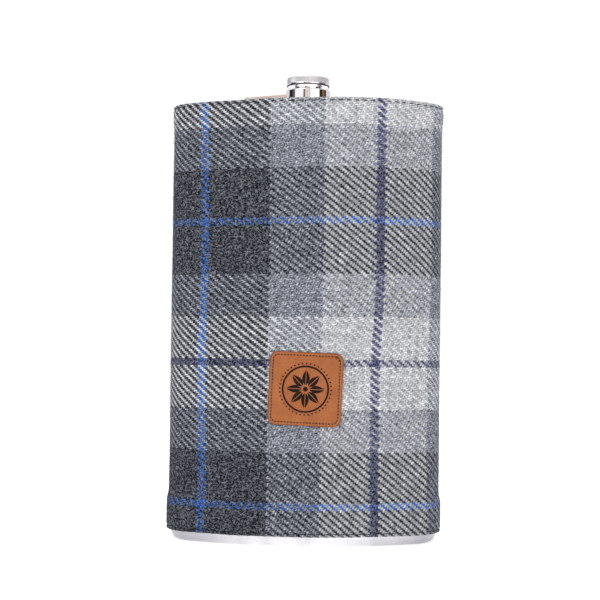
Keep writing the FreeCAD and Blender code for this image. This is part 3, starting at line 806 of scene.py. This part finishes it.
def patch_outline(count, inset=0.0):
    """Points round the patch's edge, evenly spaced."""
    straight = PATCH_SIDE - 2 * PATCH_CORNER
    r = PATCH_CORNER - inset
    length = 4 * straight + 2 * math.pi * r
    points = []
    for k in range(count):
        d = k / count * length
        turn, d = divmod(d, straight + math.pi / 2 * r)
        if d < straight:
            x, z = straight / 2 + r, -straight / 2 + d
        else:
            a = (d - straight) / r
            x, z = straight / 2 + r * math.cos(a), straight / 2 + r * math.sin(a)
        a = math.pi / 2 * turn
        points.append((x * math.cos(a) - z * math.sin(a), x * math.sin(a) + z * math.cos(a)))
    return np.array(points)


def on_front(px, pz, out):
    """A place on the patch, turned and bent to the front of the sleeve."""
    x = PATCH_X + px * math.cos(PATCH_TURN) + pz * math.sin(PATCH_TURN)
    z = PATCH_Z - px * math.sin(PATCH_TURN) + pz * math.cos(PATCH_TURN)
    radius = FRONT_R + out
    return x, FRONT_CENTRE_Y - np.sqrt(radius**2 - x**2), z


def rosette(px, pz):
    """How deep the press goes, 0 to 1: a boss and eight veined petals in a ring, with beads round it."""
    r, turn = np.hypot(px, pz), np.arctan2(pz, px)
    depth = 1 - ease(r, 1.2 * MM, 1.5 * MM)
    for k in range(PETALS):
        a = 2 * math.pi * k / PETALS
        long = px * math.cos(a) + pz * math.sin(a)
        wide = -px * math.sin(a) + pz * math.cos(a)
        from_root = np.clip((long - PETAL_START) / PETAL_LENGTH, 0, 1)
        half_width = PETAL_HALF_WIDTH * np.sin(from_root**0.8 * math.pi)
        vein = ease(np.abs(wide), 0.12 * MM, 0.3 * MM)
        petal = (1 - ease(np.abs(wide) - half_width, -0.15 * MM, 0.1 * MM)) * vein * (half_width > 0)
        depth = np.maximum(depth, petal)
    ring = 1 - ease(np.abs(r - RING_R), 0.4 * MM, 0.6 * MM)
    # A bead stands at each place where this sine is zero, so there are twice as many as its waves.
    round_ring = BEAD_RING_R * np.sin(turn * BEADS / 2) / (BEADS / 2)
    beads = 1 - ease(np.hypot(r - BEAD_RING_R, round_ring), 0.35 * MM, 0.55 * MM)
    return np.maximum(depth, np.maximum(ring, beads))


def leather_patch():
    """A bent square of leather with a burnished edge and a pressed ornament."""
    around, rings = 720, 150
    edge = patch_outline(around)
    f = 1 - (np.arange(rings) / (rings - 1)) ** 1.15
    px, pz = edge[None, :, 0] * f[:, None], edge[None, :, 1] * f[:, None]
    inset = patch_inset(px, pz)
    pressed = rosette(px, pz)
    row = np.exp(-(((inset - PATCH_STITCH_INSET) / (0.45 * MM)) ** 2))
    bevel = 0.55 * MM * (1 - ease(inset, 0, 1.0 * MM)) ** 2
    out = PATCH_FACE - bevel - 0.34 * MM * pressed - 0.22 * MM * row
    out = out + 0.07 * MM * waves(px, pz, 11, 14 * MM, 3)
    rim = 1 - ease(inset, 0.1 * MM, 0.9 * MM)
    # The edge goes down into the cloth.
    px = np.concatenate([edge[None, :, 0]] * 3 + [px])
    pz = np.concatenate([edge[None, :, 1]] * 3 + [pz])
    sides = np.array([CLOTH - 0.5 * MM, CLOTH + 0.3 * MM, PATCH_FACE - 0.85 * MM])[:, None]
    sides = sides + 0 * edge[None, :, 0]
    out = np.concatenate([sides, out])
    x, y, z = on_front(px, pz, out)
    extra = np.zeros((3, around))
    attributes = {
        "pressed": np.concatenate([extra, pressed]),
        "rim": np.concatenate([extra + 1, rim]),
    }
    return grid_mesh("leather_patch_tan", np.stack([x, y, z], -1), wrap=True, attributes=attributes)


def patch_stitches():
    """Small stitches round the patch, and a few back-stitches over one corner."""
    quarters = patch_outline(4 * PATCH_STITCHES, PATCH_STITCH_INSET)
    # Each stitch covers three quarters of its pitch.
    pairs = [(quarters[k], quarters[(k + 3) % len(quarters)]) for k in range(0, len(quarters), 4)]
    # The thread's end is worked back over one corner.
    for a, b in (((19.4, 17.6), (17.3, 16.2)), ((19.6, 16.0), (17.9, 18.0)), ((17.6, 19.3), (16.2, 17.4))):
        pairs.append((np.array(a) * MM, np.array(b) * MM))
    runs = []
    for pair in pairs:
        start, end = (Vector([float(c) for c in on_front(*p, PATCH_FACE - 0.12 * MM)]) for p in pair)
        runs.append((start, end, Vector((start.x, start.y - FRONT_CENTRE_Y, 0)).normalized()))
    return capsules("patch_stitches", runs, 0.29 * MM)


# ---------------------------------------------------------------- the cap
KNURLS = 50  # grooves of each hand round the head
KNURL_DEPTH = 0.42 * MM
DIAMOND_HEIGHT = 1.3 * MM
BAND = 1.45 * MM  # smooth band under the knurling
LIP_SHADOW = 0.62 * MM  # height of the painted shade on the rolled lip under the band
LIP_WIDTH = 0.25 * MM
LIP_ROUND = 0.2 * MM
TOP_ROUND = 0.75 * MM
TOP_DISH = 0.03 * MM
STEM_JOINT = 5.6 * MM  # radius at which the underside meets the insert's boss
GAP_UNDER = 0.02 * MM  # keeps the underside just clear of the boss


def knurled_head():
    """The cap's grip: crossed helical grooves leave a band of small diamonds above a smooth lip."""
    centre = ((HEAD_LOW[0] + HEAD_HIGH[0]) / 2, (HEAD_LOW[1] + HEAD_HIGH[1]) / 2)
    low, high = HEAD_LOW[2], HEAD_HIGH[2]
    r = (HEAD_HIGH[0] - HEAD_LOW[0]) / 2
    knurl_low, knurl_high = low + BAND, high - TOP_ROUND
    profile = [(STEM_JOINT, low + GAP_UNDER), (r - 1.2 * MM, low + GAP_UNDER)]
    for k in range(5):
        a = math.pi / 2 * k / 4
        profile.append((r - LIP_ROUND * (1 - math.sin(a)), low + LIP_ROUND * (1 - math.cos(a))))
    profile += [(r, low + LIP_SHADOW), (r, low + LIP_SHADOW + 0.1 * MM), (r, knurl_low - 0.12 * MM)]
    rows = 26
    for k in range(rows):
        profile.append((r, knurl_low + (knurl_high - knurl_low) * k / (rows - 1)))
    for k in range(1, 9):
        a = math.pi / 2 * k / 8
        profile.append((r - TOP_ROUND * (1 - math.cos(a)), knurl_high + TOP_ROUND * math.sin(a)))
    profile.append((r * 0.86, high))
    for radius in (r * 0.80, r * 0.5, 0.4 * MM, 0):
        profile.append((radius, high - TOP_DISH))
    turn = 2 * math.pi / KNURLS

    def cut(angle, radius, z):
        along = (z - knurl_low) / DIAMOND_HEIGHT * turn
        one = np.abs(np.mod((angle + along) / turn, 1) - 0.5) * 2
        two = np.abs(np.mod((angle - along) / turn, 1) - 0.5) * 2
        # The grooves of one hand are rolled deeper than those of the other.
        diamonds = np.minimum(np.minimum(one * 1.6 + 0.55, two * 1.15), 1.0)
        started = ease(z, knurl_low - 0.1 * MM, knurl_low + 0.12 * MM)
        ended = ease(z, knurl_high + 0.2 * MM, knurl_high + 0.6 * MM)
        return -KNURL_DEPTH * started * (1 - ended) * (1 - diamonds)

    return turned("cap_head_knurled", profile, KNURLS * 12, centre, cut)


# ---------------------------------------------------------------- building it
MATERIALS = {
    "brushed_steel": brushed_material(),
    "polished_steel": polished_material("polished_steel", 0.045, (0.92, 0.91, 0.92)),
    "seal_rubber": seal_material(),
    "felt_lining": felt_material(),
}


def dress(node, material):
    """Gives a CAD node its finished material."""
    obj = bpy.data.objects[node]
    for slot in obj.material_slots:
        slot.material = material
    if not obj.material_slots:
        obj.data.materials.append(material)


def add(piece, body, slot, material, *nodes):
    """Puts a piece on its body in place of the nodes it stands for."""
    piece.data.materials.append(material)
    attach(piece, body)
    if nodes:
        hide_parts(*nodes)
    return piece


for entry in frame["record"]["subparts"]:
    if entry["material_slot"] in MATERIALS:
        dress(entry["node"], MATERIALS[entry["material_slot"]])
dress("arm_strap", polished_material("worn_steel", 0.14, (0.94, 0.90, 0.88)))

tweed = tweed_material()
hem_thread = thread_material("hem_thread", (0.030, 0.032, 0.040))
patch_thread = thread_material("patch_thread", (0.016, 0.015, 0.014))
sleeve = add(tweed_sleeve(), "flask", "tweed", tweed, "tweed_sleeve")
add(hem_stitches("top_hem_stitches", SLEEVE_HIGH[2] - STITCH_INSET), "flask",
    "sewing_thread", hem_thread, "top_hem_thread")
add(hem_stitches("bottom_hem_stitches", SLEEVE_LOW[2] + STITCH_INSET), "flask",
    "sewing_thread", hem_thread, "bottom_hem_thread")
add(seam_stitches(), "flask", "sewing_thread", hem_thread, "back_seam_thread")
add(wool_fibres(), "flask", "tweed", fibre_material())
add(leather_patch(), "flask", "tan_leather", leather_material(), "leather_patch")
add(patch_stitches(), "flask", "sewing_thread", patch_thread, "patch_thread")
add(knurled_head(), "cap", "polished_steel", knurled_material(), "cap_head")


# ---------------------------------------------------------------- stage, light and camera
def floor():
    """A pale floor that runs out of sight."""
    mesh = bpy.data.meshes.new("floor")
    shape = bmesh.new()
    bmesh.ops.create_circle(shape, cap_ends=True, segments=64, radius=6.0)
    shape.to_mesh(mesh)
    shape.free()
    obj = bpy.data.objects.new("floor", mesh)
    bpy.context.collection.objects.link(obj)
    made, _, _ = new_material("floor", Base_Color=(0.92, 0.92, 0.92, 1), Roughness=0.9,
                              Specular_IOR_Level=0.1, Emission_Color=(1, 1, 1, 1), Emission_Strength=0.6)
    mesh.materials.append(made)


WHITE, DARK, BROWN = (1, 1, 1), (0.02, 0.018, 0.017), (0.22, 0.11, 0.05)
LILAC, BLUSH = (0.74, 0.71, 0.82), (0.62, 0.52, 0.47)
# What stands round the table, by degrees from straight in front of the flask; the camera's right is positive.
SURROUNDINGS = [
    (-180, LILAC),
    (-114, LILAC),
    # a dark flag on the left
    (-111, DARK),
    (-91, DARK),
    (-88, (0.09, 0.075, 0.07)),
    (-72, (0.12, 0.10, 0.09)),
    (-69, WHITE),
    (-23.5, WHITE),
    # darker and pinkish things behind the camera
    (-22.5, (0.10, 0.08, 0.08)),
    (-15.5, (0.14, 0.11, 0.11)),
    (-14, (0.80, 0.55, 0.50)),
    (-8, (0.88, 0.66, 0.60)),
    (-6.5, WHITE),
    (-5.5, BLUSH),
    (0.5, BLUSH),
    (1.5, WHITE),
    (4, WHITE),
    (5, (0.42, 0.34, 0.24)),
    (9, (0.62, 0.54, 0.42)),
    (10.5, WHITE),
    (20, (0.80, 0.78, 0.92)),
    (25, WHITE),
    (61, WHITE),
    # a dark flag on the right, with brown in its middle
    (63.5, DARK),
    (78, DARK),
    (81, BROWN),
    (96, BROWN),
    (99, DARK),
    (108, DARK),
    (111, LILAC),
    (180, LILAC),
]


def studio():
    """White surroundings with a dark flag at each side, which only the steel shows."""
    world = bpy.data.worlds.new("studio")
    bpy.context.scene.world = world
    t = Tree(world)
    background = t.tree.nodes["Background"]
    direction = t.node("ShaderNodeTexCoord").outputs["Generated"]
    split = t.node("ShaderNodeSeparateXYZ", Vector=direction)
    azimuth = t.math("ARCTAN2", split.outputs[0], t.math("MULTIPLY", split.outputs[1], -1.0))
    place = t.math("ADD", t.math("DIVIDE", azimuth, 2 * math.pi), 0.5)
    stops = [(degrees / 360 + 0.5, colour) for degrees, colour in SURROUNDINGS]
    ring = t.ramp(place, stops)["Color"]
    overhead = t.between(t.math("ABSOLUTE", split.outputs[2]), 0.45, 0.6)
    around = t.mix(overhead, ring, (0.80, 0.80, 0.82))
    seen = t.node("ShaderNodeLightPath").outputs["Is Camera Ray"]
    t.feed(background.inputs["Color"], t.mix(seen, around, WHITE))
    background.inputs["Strength"].default_value = 1.05


def area_light(name, place, target, size, watts):
    """A soft square light aimed at a point."""
    light = bpy.data.lights.new(name, "AREA")
    light.size = size
    light.energy = watts
    obj = bpy.data.objects.new(name, light)
    obj.location = place
    obj.rotation_euler = (Vector(target) - Vector(place)).to_track_quat("-Z", "Y").to_euler()
    bpy.context.collection.objects.link(obj)


LENS = 89.44  # mm
CAMERA_PLACE = (0.0178, -0.8792, 0.1131)
CAMERA_PITCH, CAMERA_YAW, CAMERA_ROLL = 1.85, 1.375, 0.737  # degrees
AIM = (0, 0, 0.13)  # where the lights point


def camera():
    """Eye level with the flask's lower middle, a little to its right, with a slight roll."""
    data = bpy.data.cameras.new("camera")
    data.sensor_width = 36.0
    data.lens = LENS
    obj = bpy.data.objects.new("camera", data)
    obj.location = CAMERA_PLACE
    turn = Euler((math.radians(90 + CAMERA_PITCH), 0, math.radians(CAMERA_YAW)), "XYZ").to_matrix()
    roll = Euler((0, 0, math.radians(CAMERA_ROLL)), "XYZ").to_matrix()
    obj.rotation_euler = (turn @ roll).to_euler()
    bpy.context.collection.objects.link(obj)
    bpy.context.scene.camera = obj


floor()
studio()
area_light("key", (-0.7, -0.9, 1.35), AIM, 0.8, 4.5)
area_light("fill", (0.8, -1.0, 0.35), AIM, 0.9, 1.8)
camera()
bpy.context.scene.view_settings.view_transform = "Standard"
